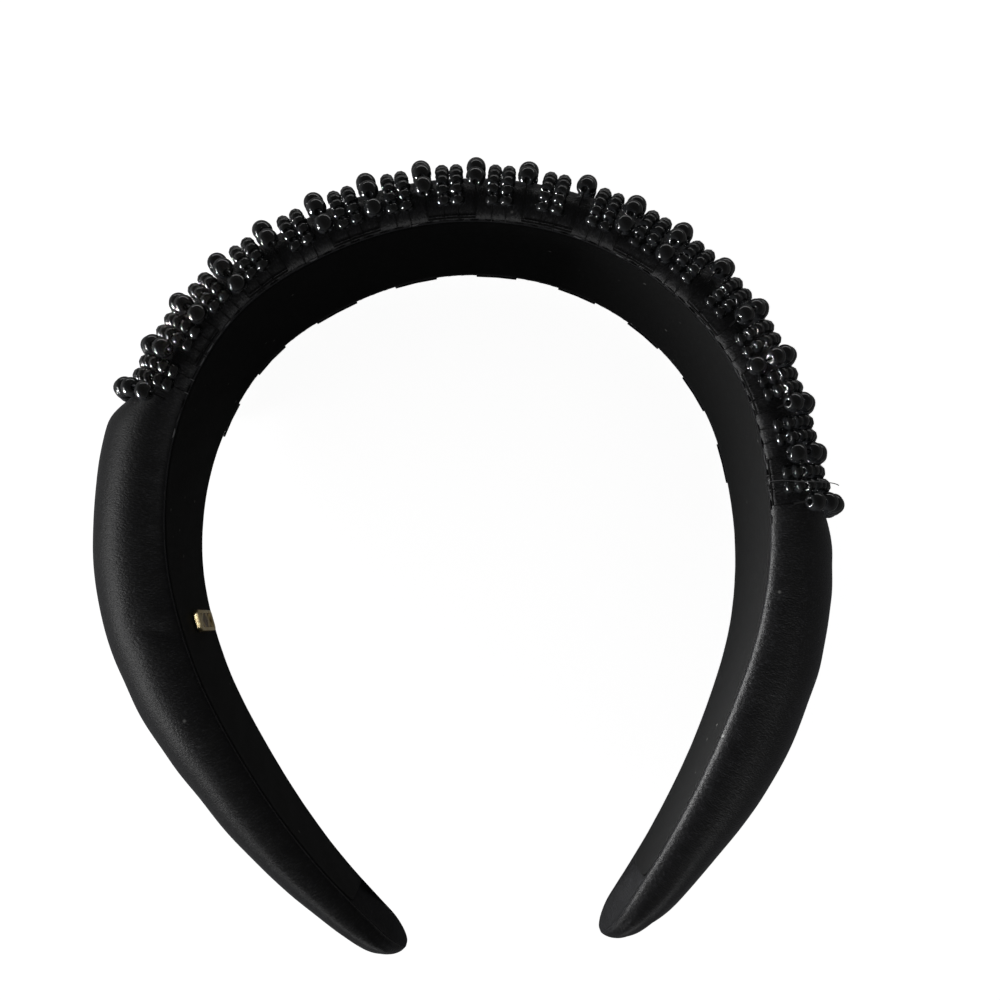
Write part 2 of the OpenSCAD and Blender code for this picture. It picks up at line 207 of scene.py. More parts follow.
# The padding before its ends are rounded: place along the band, share of the width, of the thickness
padding = np.array([
    [0.000, 0.46, 0.33], [0.050, 0.58, 0.46], [0.100, 0.71, 0.65], [0.150, 0.77, 0.82], [0.200, 0.78, 0.97],
    [0.250, 0.81, 1.00], [0.300, 0.92, 0.96], [0.330, 1.00, 0.98], [0.380, 1.05, 0.88], [0.430, 1.03, 0.95],
    [0.480, 1.00, 1.00], [0.650, 1.00, 0.99], [0.700, 1.00, 0.87], [0.735, 0.97, 0.87], [0.755, 0.95, 0.95],
    [0.780, 0.87, 0.83], [0.805, 0.79, 0.87], [0.830, 0.73, 0.95], [0.850, 0.68, 0.93], [0.880, 0.61, 0.88],
    [0.920, 0.57, 0.74], [0.960, 0.53, 0.53], [1.000, 0.46, 0.35],
])

# In millimetres, with one stop more at either end for the curve to lean on
stops = course * [inner_w / 2, inner_h]
stops = np.vstack([2 * stops[0] - stops[1], stops, 2 * stops[-1] - stops[-2]])


def course_at(mark):
    """Point and way of the course: a Catmull-Rom curve through its stops, mark counting the stops."""
    i = np.clip(np.floor(mark).astype(int), 0, len(course) - 2)
    f = (mark - i)[..., None]
    a, b, c, d = stops[i], stops[i + 1], stops[i + 2], stops[i + 3]
    bend, twist = 2 * a - 5 * b + 4 * c - d, 3 * b - a - 3 * c + d
    return b + f / 2 * ((c - a) + f * (bend + f * twist)), (c - a) / 2 + f * (bend + 1.5 * f * twist)


steps_per_stop = 12
marks = np.linspace(0, len(course) - 1, (len(course) - 1) * steps_per_stop + 1)
runs = np.concatenate([[0], np.cumsum(np.linalg.norm(np.diff(course_at(marks)[0], axis=0), axis=1))])
band_l = runs[-1]
first_s, last_s = row_first * band_l, row_last * band_l


def unit(v):
    """Each vector divided by its own length."""
    return v / np.linalg.norm(v, axis=-1, keepdims=True)


def outward(s):
    """Unit vector away from the head at s, square to the course."""
    way = course_at(np.interp(s, runs, marks))[1]
    return unit(np.stack([-way[..., 1], way[..., 0]], -1))


def place(s, a, b):
    """Point in metres of the band: s along its course, a across it (up), b outward from the inner face."""
    s, a, b = np.broadcast_arrays(*(np.asarray(x, float) for x in (s, a, b)))
    flat = course_at(np.interp(s, runs, marks))[0] + b[..., None] * outward(s)
    return (np.concatenate([flat, a[..., None]], -1) + rest_shift) / 1000


def step_up(x):
    """0 below 0, 1 above 1, and a smooth step between."""
    x = np.clip(x, 0, 1)
    return x * x * (3 - 2 * x)


def eased(column, s):
    """A column of the padding's table at s, averaged over five places with triangular weights."""
    return sum((3 - abs(k)) / 9 * np.interp(s / band_l + 0.02 * k, padding[:, 0], padding[:, column])
               for k in range(-2, 3))


def pressed(s):
    """1 under the beadwork and 0 beside it."""
    return step_up((s - first_s + fade_ahead) / fade_first + 0.5) * step_up((last_s - s) / fade_last + 0.5)


def round_off(s, length):
    """Quarter circle from 0 at either end of the band to 1 at length from it."""
    f = 1 - np.clip(np.minimum(s, band_l - s) / length, 0, 1)
    return np.sqrt(1 - f * f)


def face_w(s):
    """Width of the inner face at s: the band's times the table's share, rounded to nothing at the ends."""
    return band_w * eased(1, s) * round_off(s, nose_l)


def base_h(s):
    """Height of the inner face above the course, which rises a little where the ends are rounded."""
    return nose_h * (1 - round_off(s, nose_l))


def full_t(s):
    """Thickness before the ends are rounded: pressed or free, times the table's share."""
    return (pressed(s) * field_t + (1 - pressed(s)) * pad_t) * eased(2, s)


def pad_h(s):
    """Height of the padding's top above the course, rounded down to the inner face at the ends."""
    return base_h(s) + (full_t(s) - base_h(s)) * round_off(s, tip_l)


def skin(s, g):
    """Section of the padding's skin at s, as [a, b] and the way out: half an ellipse over the top, with g
    from 0 to 180 degrees, and a quarter ellipse on each side that turns in to the seams at -90 and 270."""
    s, g = np.broadcast_arrays(np.asarray(s, float), np.asarray(g, float))
    c, n = np.cos(np.radians(g)), np.sin(np.radians(g))
    w, swell = face_w(s) / 2, bulge * round_off(s, nose_l)
    waist = np.minimum(swell_h, 0.45 * full_t(s)) * round_off(s, tip_l)
    foot, top, over = base_h(s), pad_h(s), n >= 0
    rise = top - foot - waist
    side = np.where(g > 90, -1, 1)
    at = np.stack([np.where(over, (w + swell) * c, side * w + swell * c),
                   foot + waist + np.where(over, rise, waist) * n], -1)
    out = np.stack([np.where(over, rise, waist) * c, np.where(over, w + swell, swell) * n], -1)
    return at, out / np.maximum(np.linalg.norm(out, axis=-1, keepdims=True), 1e-9)


def above(s, g, h):
    """Point [a, b] at height h above the skin, lifted where the skin slopes along the band."""
    at, out = skin(s, g)
    slope = np.maximum(abs(pad_h(s + 1) - pad_h(s - 1)), abs(face_w(s + 1) - face_w(s - 1)) / 2) / 2
    return at + (np.asarray(h) * np.sqrt(1 + slope**2))[..., None] * out, out


def on_skin(s, g, h):
    """Point in metres at height h above the skin, and the unit vector away from the satin there."""
    s, g, h = np.broadcast_arrays(*(np.asarray(x, float) for x in (s, g, h)))
    at, out = above(s, g, h)
    return place(s, at[..., 0], at[..., 1]), np.concatenate([out[..., 1:] * outward(s), out[..., :1]], -1)


def surface(name, grid, material, loop=False, caps=False, flat_map=None, **values):
    """One mesh of K like surfaces, from a grid of K x N x M points: N rings of M points, each ring closed.
    loop joins the last ring to the first; caps closes both ends with a fan to the ring's middle. flat_map
    gives each point its UV, and each further value becomes an attribute. Faces are turned to point out."""
    grid = grid if grid.ndim == 4 else grid[None]
    k, n, m = grid.shape[:3]
    at = np.arange(k * n * m).reshape(k, n, m)
    near, far = (at, np.roll(at, -1, 1)) if loop else (at[:, :-1], at[:, 1:])
    quads = np.stack([near, np.roll(near, -1, 2), np.roll(far, -1, 2), far], -1).reshape(-1, 4)
    points, fans = grid.reshape(-1, 3), np.zeros((0, 3), int)
    if caps:
        tops = k * n * m + np.arange(2 * k).reshape(k, 2)
        points = np.vstack([points, grid[:, [0, -1]].mean(2).reshape(-1, 3)])
        first, last = at[:, 0], at[:, -1]
        fans = np.concatenate([
            np.stack([np.roll(first, -1, 1), first, np.broadcast_to(tops[:, :1], (k, m))], -1).reshape(-1, 3),
            np.stack([last, np.roll(last, -1, 1), np.broadcast_to(tops[:, 1:], (k, m))], -1).reshape(-1, 3),
        ])
    centred = points - points.mean(0)
    corners = np.concatenate([quads[:, [0, 1, 2]], quads[:, [0, 2, 3]], fans])
    a, b, c = (centred[corners[:, i]] for i in range(3))
    if np.einsum("ij,ij->", a, np.cross(b, c)) < 0:
        quads, fans = quads[:, ::-1], fans[:, ::-1]
    mesh = bpy.data.meshes.new(name)
    mesh.from_pydata(points.tolist(), [], quads.tolist() + fans.tolist())

    def spread(v, width):
        """Repeats a value per point for the caps' middles, which take it from their rings."""
        v = np.broadcast_to(v, (k, n, m, width))
        ends = v[:, [0, -1]].mean(2).reshape(-1, width)
        return np.vstack([v.reshape(-1, width), ends]) if caps else v.reshape(-1, width)

    if flat_map is not None:
        corner = np.zeros(len(mesh.loops), int)
        mesh.loops.foreach_get("vertex_index", corner)
        mesh.uv_layers.new(name="cloth").data.foreach_set("uv", spread(flat_map, 2)[corner].ravel())
    for key, value in values.items():
        each = spread(value[..., None], 1).ravel()
        mesh.attributes.new(key, "FLOAT", "POINT").data.foreach_set("value", each)
    mesh.materials.append(material)
    mesh.shade_smooth()
    made = bpy.data.objects.new(name, mesh)
    world.collection.objects.link(made)
    return made


# Rings along the band: close together in the rounded ends
tip = tip_l * (1 - np.cos(np.radians(np.linspace(7, 90, 13))))
rings = np.concatenate([tip, np.linspace(tip_l, band_l - tip_l, 236)[1:-1], band_l - tip[::-1]])[:, None]

# Around the section: the skin from seam to seam, the narrow inner edge, and the bed of the lining
low_angles = np.array([-90, -85, -78, -68, -56, -42, -28, -14.0])
angles = np.concatenate([low_angles, np.linspace(0, 180, 29), 180 - low_angles[::-1]])[None]
skin_at, skin_out = skin(rings, angles)
half, foot = face_w(rings) / 2, base_h(rings)
edge = np.minimum(edge_w, half / 3)
bed = bed_d * step_up((np.minimum(rings, band_l - rings) - nose_l) / (lining_stop - nose_l))
edge_rise = 0.04
inner_a = np.concatenate([-half + 0.35 * edge, -half + 0.8 * edge, -half + edge, -half + edge, -0.5 * half,
                          0 * half, 0.5 * half, half - edge, half - edge, half - 0.8 * edge,
                          half - 0.35 * edge], 1)
inner_b = np.concatenate([foot, foot + edge_rise, foot + 0.35 * bed, foot + bed, foot + bed, foot + bed,
                          foot + bed, foot + bed, foot + 0.35 * bed, foot + edge_rise, foot], 1)

# Small forms of the satin: how far it stands out (mm), worked out over the length and the way round from
# the upper seam. The crown is beaded, the arms are bare
chance = np.random.default_rng(7)
turns = skin_at.shape[1]
strides = np.linalg.norm(np.diff(skin_at, axis=1), axis=2)
seam_way = np.concatenate([np.zeros((len(rings), 1)), np.cumsum(strides, 1)], 1)
girth = seam_way[:, -1:]
to_seam = np.minimum(seam_way, girth - seam_way)
lower = seam_way > girth / 2
beaded = step_up((rings - first_s + 7) / 6) * step_up((last_s + 7 - rings) / 6)
bare = 1 - beaded
end_way = np.minimum(rings, band_l - rings)


def waves(x, pitches, seed):
    """Sum of sines over x of slowly wandering pitch, each with its own phase, from -1 to 1."""
    r = np.random.default_rng(seed)
    total = np.zeros_like(x)
    for p in pitches:
        a, b, c = r.uniform(0, 2 * math.pi, 3)
        wander = 1.3 * np.sin(2 * math.pi * x / (p * 5.3) + b)
        total += np.sin(2 * math.pi * x / p + a + wander) * (0.8 + 0.2 * np.cos(c))
    return total / len(pitches)


# Slow dents and swellings of the foam; puckers that run in from the seams; a dimple at each stitch of the
# crown; gathers that run to the ends; and a short crease on the left arm, where the padding is bent
dent_h, pucker_h, dimple_h, gather_h = 0.34, 0.20, 0.13, 0.22
stitch_pitch = 3.3
dent = waves(rings + 0.35 * seam_way, [41, 27, 17], 3)
stand_out = dent_h * bare * dent * np.sin(math.pi * seam_way / girth)
pucker = waves(rings + 0.12 * to_seam + 40 * lower, [6.3, 4.4, 8.9], 11)
stand_out += pucker_h * bare * np.exp(-((to_seam - 2.2) / 3.2) ** 2) * pucker * step_up(to_seam / 1.5)
dimple = 0.5 + 0.5 * np.cos(2 * math.pi * (rings - first_s) / stitch_pitch)
stand_out -= dimple_h * beaded * np.exp(-((to_seam - 1.4) / 1.3) ** 2) * dimple
gather = waves(seam_way + 3 * np.sin(seam_way / 5), [3.4, 5.2], 23)
gathered = np.exp(-((end_way - 5) / 6.5) ** 2)
stand_out += gather_h * gathered * gather * step_up(end_way / 4) * step_up(to_seam / 3)

# The crease is two folds: each one's place along the band and way round, length, lean and depth
crease_w = 1.1
for at_s, at_way, long, lean, deep in ((86.0, 5.5, 4.5, 0.55, 0.55), (91.0, 8.5, 4.0, -0.35, 0.35)):
    across_way = (rings - at_s) - lean * (seam_way - at_way)
    stand_out -= deep * np.exp(-(across_way / crease_w) ** 2 - ((seam_way - at_way) / long) ** 2)

# The seams lie in a shallow groove
groove_d = 0.22
skin_at = skin_at + (stand_out * step_up(end_way / 1.5))[..., None] * skin_out
skin_at[:, [0, -1], 1] += groove_d * step_up((end_way - 1) / 6)
section_a = np.concatenate([skin_at[..., 0], inner_a], 1)
section_b = np.concatenate([skin_at[..., 1], inner_b], 1)
pad_grid = place(rings, section_a, section_b)
around = np.concatenate([seam_way, girth + np.linspace(0.3, 1, inner_a.shape[1]) * 2 * half], 1)
pad_map = np.stack(np.broadcast_arrays(rings, around), -1) / 1000
folded_in = np.concatenate([np.zeros_like(seam_way), np.ones_like(inner_a)], 1)

enlarged, swell_frames, pin_levels = 10, 20, 10


def swollen(grid, weight, limit):
    """Cloth under pressure: the mesh of grid, enlarged so that the solver's steps are fine enough, is held
    where weight is 0 and swells. A point that moves by x goes limit * tanh(x / limit), in mm."""
    big = surface("trial", grid * enlarged, bpy.data.materials.new("trial"), caps=True)
    pins = big.vertex_groups.new(name="pins")
    held = np.concatenate([(1 - weight).ravel(), np.ones(2)])
    for level in range(1, pin_levels + 1):
        chosen = np.flatnonzero(np.round(held * pin_levels) == level)
        if len(chosen):
            pins.add(chosen.tolist(), level / pin_levels, "REPLACE")
    cloth = big.modifiers.new("swell", "CLOTH")
    rules = cloth.settings
    rules.quality, rules.mass, rules.air_damping = 5, 0.3, 4.0
    rules.tension_stiffness = rules.compression_stiffness = 14.0
    rules.shear_stiffness, rules.bending_stiffness = 4.0, 0.4
    rules.vertex_group_mass = "pins"
    rules.use_pressure, rules.uniform_pressure_force = True, 4.0
    rules.shrink_min = rules.shrink_max = -0.035
    rules.effector_weights.gravity = 0.0
    cloth.point_cache.frame_start, cloth.point_cache.frame_end = 1, swell_frames
    for step in range(1, swell_frames + 1):
        world.frame_set(step)
    done = big.evaluated_get(bpy.context.evaluated_depsgraph_get()).data
    moved = np.zeros(len(done.vertices) * 3)
    done.vertices.foreach_get("co", moved)
    moved = moved.reshape(-1, 3)[:-2].reshape(grid.shape) / enlarged - grid
    world.frame_set(1)
    bpy.data.objects.remove(big)
    far = np.linalg.norm(moved, axis=-1, keepdims=True) * 1000
    room = limit[..., None]
    return grid + moved * (room * np.tanh(far / np.maximum(room, 1e-6)) / np.maximum(far, 1e-6))


# The skin is free away from the seams and the ends, and hardly moves under the beadwork
swell_bare, swell_beaded = 0.75, 0.06
free = np.zeros_like(section_a)
free[:, :turns] = step_up((to_seam - 0.8) / 3.0) * step_up(end_way / 3)
may_move = free.copy()
may_move[:, :turns] *= swell_bare * bare + swell_beaded * beaded
pad_grid = swollen(pad_grid, free, may_move)

# Shared effects: a woven grain over the cloth's own map, loose dust, and slow smudges


def effect(name, inputs, outputs):
    """A new node group with named float or vector inputs and float outputs, and its way in and way out."""
    group = bpy.data.node_groups.new(name, "ShaderNodeTree")
    for key, kind, value in inputs:
        made = group.interface.new_socket(name=key, in_out="INPUT", socket_type="NodeSocket" + kind)
        if kind == "Float":
            made.default_value = value
    for key in outputs:
        group.interface.new_socket(name=key, in_out="OUTPUT", socket_type="NodeSocketFloat")
    return group, group.nodes.new("NodeGroupInput"), group.nodes.new("NodeGroupOutput")


def math_of(tree, how, a, b=0.0, clamp=False):
    """A Math node's result."""
    return wire(tree, "ShaderNodeMath", {0: a, 1: b}, operation=how, use_clamp=clamp).outputs[0]


grain, way_in, way_out = effect("woven_grain", [("Map", "Vector", 0), ("Along", "Float", 2500.0),
                                                ("Across", "Float", 900.0)], ["Height", "Fleck"])
scale = wire(grain, "ShaderNodeCombineXYZ",
             {"X": way_in.outputs["Along"], "Y": way_in.outputs["Across"], "Z": 1.0})
drawn = wire(grain, "ShaderNodeVectorMath", {0: way_in.outputs["Map"], 1: scale.outputs[0]},
             operation="MULTIPLY")
fine = wire(grain, "ShaderNodeTexNoise",
            {"Vector": drawn.outputs[0], "Scale": 1.0, "Detail": 2.0, "Roughness": 0.6})
coarse = wire(grain, "ShaderNodeTexNoise", {"Vector": drawn.outputs[0], "Scale": 0.28, "Detail": 3.0})
both = math_of(grain, "ADD", math_of(grain, "MULTIPLY", fine.outputs["Fac"], 0.65),
               math_of(grain, "MULTIPLY", coarse.outputs["Fac"], 0.35))
grain.links.new(both, way_out.inputs["Height"])
fleck = wire(grain, "ShaderNodeMapRange", {"Value": both, "From Min": 0.52, "From Max": 0.68}, clamp=True)
grain.links.new(fleck.outputs[0], way_out.inputs["Fleck"])

dust, way_in, way_out = effect("loose_dust", [("Map", "Vector", 0), ("Scale", "Float", 900.0),
                                              ("Share", "Float", 0.05)], ["Mask"])
crumbs = wire(dust, "ShaderNodeTexVoronoi",
              {"Vector": way_in.outputs["Map"], "Scale": way_in.outputs["Scale"], "Randomness": 1.0})
chosen = wire(dust, "ShaderNodeSeparateColor", {"Color": crumbs.outputs["Color"]})
is_crumb = math_of(dust, "LESS_THAN", chosen.outputs[0], way_in.outputs["Share"])
small = wire(dust, "ShaderNodeMapRange",
             {"Value": crumbs.outputs["Distance"], "From Min": 0.10, "From Max": 0.22, "To Min": 1.0,
              "To Max": 0.0}, clamp=True)
dust.links.new(math_of(dust, "MULTIPLY", is_crumb, small.outputs[0]), way_out.inputs["Mask"])

smudge, way_in, way_out = effect("slow_smudge", [("Map", "Vector", 0), ("Scale", "Float", 60.0)], ["Level"])
cloud = wire(smudge, "ShaderNodeTexNoise",
             {"Vector": way_in.outputs["Map"], "Scale": way_in.outputs["Scale"], "Detail": 4.0,
              "Roughness": 0.6})
level = wire(smudge, "ShaderNodeMapRange",
             {"Value": cloud.outputs["Fac"], "From Min": 0.35, "From Max": 0.65}, clamp=True)
smudge.links.new(level.outputs[0], way_out.inputs["Level"])


def placed(tree, group, **inputs):
    """Places an effect in a material. Returns its outputs."""
    return wire(tree, "ShaderNodeGroup", inputs, node_tree=group).outputs


def mixed(tree, mask, a, b):
    """Colour a where mask is 0 and b where it is 1."""
    node = wire(tree, "ShaderNodeMix", {"Factor": mask}, data_type="RGBA")
    for socket, value in ((node.inputs[6], a), (node.inputs[7], b)):
        if isinstance(value, bpy.types.NodeSocket):
            tree.links.new(value, socket)
        else:
            socket.default_value = (*value, 1.0)
    return node.outputs[2]


def bumped(tree, shader, height, distance, strength=1.0):
    """Feeds a height through a Bump node into the shader's normal."""
    node = wire(tree, "ShaderNodeBump", {"Height": height, "Distance": distance, "Strength": strength})
    tree.links.new(node.outputs["Normal"], shader.inputs["Normal"])


satin, tree, shader = finish_of("black_satin", Specular_IOR_Level=0.34, Anisotropic=0.45, Sheen_Weight=0.04,
                                Sheen_Roughness=0.35, Sheen_Tint=(0.8, 0.85, 1.0, 1.0))
along = wire(tree, "ShaderNodeTangent", direction_type="UV_MAP", uv_map="cloth")
tree.links.new(along.outputs[0], shader.inputs["Tangent"])
cloth_map = wire(tree, "ShaderNodeUVMap", uv_map="cloth").outputs["UV"]
object_map = wire(tree, "ShaderNodeTexCoord").outputs["Object"]
weave = placed(tree, grain, Map=cloth_map, Along=3400.0, Across=1300.0)
specks = placed(tree, dust, Map=object_map, Scale=420.0, Share=0.012)
patchy = placed(tree, smudge, Map=object_map, Scale=45.0)
black = mixed(tree, weave["Fleck"], (0.003, 0.003, 0.0036), (0.020, 0.0206, 0.0235))
tree.links.new(mixed(tree, math_of(tree, "MULTIPLY", specks["Mask"], 0.4), black, (0.30, 0.30, 0.29)),
               shader.inputs["Base Color"])
uneven = math_of(tree, "ADD", math_of(tree, "MULTIPLY", patchy["Level"], 0.3),
                 math_of(tree, "MULTIPLY", weave["Fleck"], 0.7))
rough = wire(tree, "ShaderNodeMapRange", {"Value": uneven, "To Min": 0.44, "To Max": 0.62})
folded = wire(tree, "ShaderNodeAttribute", attribute_name="folded", attribute_type="GEOMETRY").outputs["Fac"]
tree.links.new(math_of(tree, "ADD", rough.outputs[0], math_of(tree, "MULTIPLY", folded, 0.4), clamp=True),
               shader.inputs["Roughness"])
bumped(tree, shader, weave["Height"], 0.00024)

# It lies on the table, less than the thickness of the cloth above it
table_gap = 0.0001
pad_grid[..., 2] = np.maximum(pad_grid[..., 2], table_gap)
pad = surface("satin_cover", pad_grid, satin, caps=True, flat_map=pad_map, folded=folded_in)
soften = pad.modifiers.new("soften", "SUBSURF")
soften.levels = soften.render_levels = 1
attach(pad, "root")
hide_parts("satin_pad")
only_on(front_wall, pad)

# ---------------------------------------------------------------- Lining
# A strip of matt ribbon over the core on the inner face, laid in between the seams and sewn along both.
# It shows as a narrow dark band inside the arms, with lint on it.

lining_gap, lining_t = 0.15, 1.2
strip = np.linspace(lining_stop, band_l - lining_stop, 200)[:, None]
strip_half = face_w(strip) / 2 - edge_w - lining_gap
under, over = bed_d - lining_gap - lining_t, bed_d - lining_gap
turn_in = np.radians(np.linspace(0, 90, 4))
turn_in, turn_back = turn_in[1:], turn_in[:0:-1]
across_head = np.linspace(-1, 1, 15)[None]
wave_h, hem, least_step = 0.10, 0.4, 0.02
rise_mm = wave_h * (1 + waves(strip + 6 * across_head, [13, 7.7], 31)) * (1 - across_head**8)

# Section of the strip: its waving face, the hem turned in at one edge, its flat back, and the other hem
strip_a = np.concatenate([
    strip_half * across_head * (1 - hem / strip_half), (strip_half - hem) + hem * np.sin(turn_in),
    strip_half * [1, 0.5, 0, -0.5, -1], -(strip_half - hem) - hem * np.sin(turn_back),
], 1)
strip_b = np.concatenate([
    under + rise_mm, np.broadcast_to(under + hem * (1 - np.cos(turn_in)), (len(strip), 3)),
    np.full((len(strip), 5), over), np.broadcast_to(under + hem * (1 - np.cos(turn_back)), (len(strip), 3)),
], 1)
lining_way = np.cumsum(np.hypot(np.diff(strip_a, axis=1, prepend=strip_a[:, :1]), least_step), 1)

ribbon, tree, shader = finish_of("matt_ribbon", Specular_IOR_Level=0.2, Roughness=0.75)
cloth_map = wire(tree, "ShaderNodeUVMap", uv_map="cloth").outputs["UV"]
weave = placed(tree, grain, Map=cloth_map, Along=1500.0, Across=2600.0)
lint = placed(tree, dust, Map=cloth_map, Scale=520.0, Share=0.02)
black = mixed(tree, weave["Fleck"], (0.003, 0.0031, 0.0032), (0.011, 0.0113, 0.0117))
tree.links.new(mixed(tree, math_of(tree, "MULTIPLY", lint["Mask"], 0.35), black, (0.35, 0.35, 0.34)),
               shader.inputs["Base Color"])
bumped(tree, shader, weave["Height"], 0.00008)

lining = surface("lining_strip", place(strip, strip_a, strip_b), ribbon, caps=True,
                 flat_map=np.stack(np.broadcast_arrays(strip, lining_way), -1) / 1000)
soften = lining.modifiers.new("soften", "SUBSURF")
soften.levels = soften.render_levels = 1
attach(lining, "root")
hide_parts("lining")
only_on(inner_light, lining, pad)

# ---------------------------------------------------------------- Metal tag
# A small stamped plate of gold-coloured brass on the left arm's lining. It has a raised rim round a sunk
# field, which carries a plain lattice of ribs here. The field between the ribs is painted dark brown as
# shade.

tag_at, tag_l, tag_w, tag_t, tag_r = 0.2095, 4.9, 13.0, 1.3, 1.1
tag_rim, tag_end, tag_dish, tag_gap, tag_off = 0.8, 1.8, 0.35, 0.25, 3.0

# Profile from the middle of the back round the edge to the middle of the face: inset from the long sides,
# further inset from the short sides, height above the back
soft_edge, floor_t = 0.22, tag_t - tag_dish
tag_profile = np.array([
    [2.1, 1, 0.0], [1.2, 0, 0.0], [soft_edge, 0, 0.0], [0.06, 0, 0.06], [0.0, 0, soft_edge],
    [0.0, 0, tag_t - soft_edge], [0.06, 0, tag_t - 0.06], [soft_edge, 0, tag_t], [tag_rim - 0.16, 1, tag_t],
    [tag_rim - 0.04, 1, tag_t - 0.05], [tag_rim, 1, tag_t - 0.14], [tag_rim + 0.03, 1, floor_t + 0.05],
    [tag_rim + 0.12, 1, floor_t], [1.5, 1, floor_t - 0.02], [2.1, 1, floor_t - 0.02],
])[:, None]
turns_round = np.radians(np.arange(0, 360, 7.5) + 3.75)[None]
corner_r = np.maximum(tag_r - tag_profile[..., :1], 0.25)
half_l = tag_l / 2 - tag_profile[..., :1]
half_w = tag_w / 2 - tag_profile[..., :1] - (tag_end - tag_rim) * tag_profile[..., 1:2]
cx, cy = np.cos(turns_round)[..., None], np.sin(turns_round)[..., None]
tag_x = np.sign(cx) * np.maximum(half_l - corner_r, 0.0) + corner_r * cx
tag_y = np.sign(cy) * np.maximum(half_w - corner_r, 0.0) + corner_r * cy
tag_z = np.broadcast_to(tag_profile[..., 2:], tag_x.shape)
tag_s = np.array(tag_at * band_l)
tag_out = np.append(outward(tag_s), 0.0)
tag_way = np.array([tag_out[1], -tag_out[0], 0.0])
tag_base = place(tag_s, -tag_off, bed_d - lining_gap - lining_t - tag_gap)
tag_grid = tag_base + (tag_x * tag_way + tag_y * np.array([0, 0, 1.0]) - tag_z * tag_out) / 1000

brass, tree, shader = finish_of("gold_brass", Metallic=1.0, Specular_IOR_Level=0.5)
object_map = wire(tree, "ShaderNodeTexCoord").outputs["Object"]
cloth_map = wire(tree, "ShaderNodeUVMap", uv_map="cloth").outputs["UV"]
patchy = placed(tree, smudge, Map=object_map, Scale=420.0)
mirrored = {0: cloth_map, 1: (-1.0, 1.0, 1.0)}
flipped = wire(tree, "ShaderNodeVectorMath", mirrored, operation="MULTIPLY").outputs[0]
ribs = [wire(tree, "ShaderNodeTexWave", {"Vector": way, "Scale": 95.0, "Distortion": 0.0}, wave_type="BANDS",
             bands_direction="DIAGONAL").outputs["Fac"] for way in (cloth_map, flipped)]
sunk = wire(tree, "ShaderNodeAttribute", attribute_name="sunk", attribute_type="GEOMETRY").outputs["Fac"]
crossed = math_of(tree, "MULTIPLY", math_of(tree, "POWER", math_of(tree, "MAXIMUM", *ribs), 6.0), sunk)
gold = mixed(tree, patchy["Level"], (1.0, 0.84, 0.50), (0.86, 0.68, 0.36))
# Painted shade: the sunk field between the ribs is painted dark brown
painted_field_shade = math_of(tree, "MULTIPLY", math_of(tree, "SUBTRACT", sunk, crossed, clamp=True), 0.95)
tree.links.new(mixed(tree, painted_field_shade, gold, (0.16, 0.09, 0.03)), shader.inputs["Base Color"])
worn = wire(tree, "ShaderNodeMapRange", {"Value": patchy["Level"], "To Min": 0.24, "To Max": 0.40})
tree.links.new(worn.outputs[0], shader.inputs["Roughness"])
bumped(tree, shader, crossed, 0.00012)
first_in_field = 10  # the profile's first point that lies inside the rim
in_field = (np.arange(len(tag_profile)) >= first_in_field) * 1.0
in_field = np.broadcast_to(in_field[:, None], tag_x.shape[:2])
tag = surface("tag_plate", tag_grid, brass, caps=True, sunk=in_field,
              flat_map=np.concatenate([tag_x, tag_y], -1) / 1000)
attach(tag, "root")
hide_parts("gold_tag")
only_on(tag_light, tag, shades=[floor])
only_on(left_wall, floor, pad, lining, tag)

# ---------------------------------------------------------------- Round beads
# Round drilled beads of black glass, 4.4 mm, threaded in 19 rows across the crown. Each is turned a little
# and dusty on its own, with the drilled hole's rim rounded over.

bead_d, bead_gap, bead_clear, bore_d, side_lift = 4.4, 0.3, 0.15, 0.9, 0.9
row_pitch, row_to = 9.8, 156.0

# The angle at which each row's first bead sits, and how far some rows stand off an even pitch, as a share
# of it: the rows between them share the difference
row_starts = np.array([6, 9, -3, -18, 8, -5, -9, 5, 12, 19, 27, 0, -8, 22, 6, -17, 10, 2, 13.0])
shifted = np.array([
    [1, 0], [2, -0.10], [3, -0.20], [4, -0.24], [5, -0.23], [6, -0.10], [8, 0.02], [9, 0.05], [10, 0.05],
    [11, 0.16], [13, 0.14], [15, 0.11], [16, 0.10], [17, 0.02], [19, 0],
])
row_count = round((last_s - first_s) / row_pitch) + 1
real_pitch = (last_s - first_s) / (row_count - 1)
row_numbers = np.arange(row_count)
row_s = first_s + real_pitch * (row_numbers + np.interp(row_numbers + 1, shifted[:, 0], shifted[:, 1]))


def row_h(g):
    """Height of a round bead's middle above the skin: more at the sides, where the beads are crowded."""
    return bead_clear + bead_d / 2 + side_lift * (1 - np.maximum(0, np.sin(np.radians(g)))) ** 2


def unit_off(v, way):
    """Unit vector of v without its part along way."""
    return unit(v - np.sum(v * way, 1, keepdims=True) * way)


# Each row takes as many beads as its own length has room for, at equal steps
row_samples = 49
bead_s, bead_g = [], []
for s, start in zip(row_s, row_starts):
    g = np.linspace(start, row_to, row_samples)
    line = above(np.full_like(g, s), g, row_h(g))[0]
    run = np.concatenate([[0], np.cumsum(np.linalg.norm(np.diff(line, axis=0), axis=1))])
    n = int(run[-1] / (bead_d + bead_gap))
    bead_g += np.interp(run[-1] * np.arange(n + 1) / n, run, g).tolist()
    bead_s += [s] * (n + 1)
bead_s, bead_g = np.array(bead_s), np.array(bead_g)
bead_mid, bead_away = on_skin(bead_s, bead_g, row_h(bead_g))
below, beyond = (on_skin(bead_s, bead_g + d, row_h(bead_g + d))[0] for d in (-1, 1))
bead_way = unit(below - beyond)
bead_away = unit_off(bead_away, bead_way)


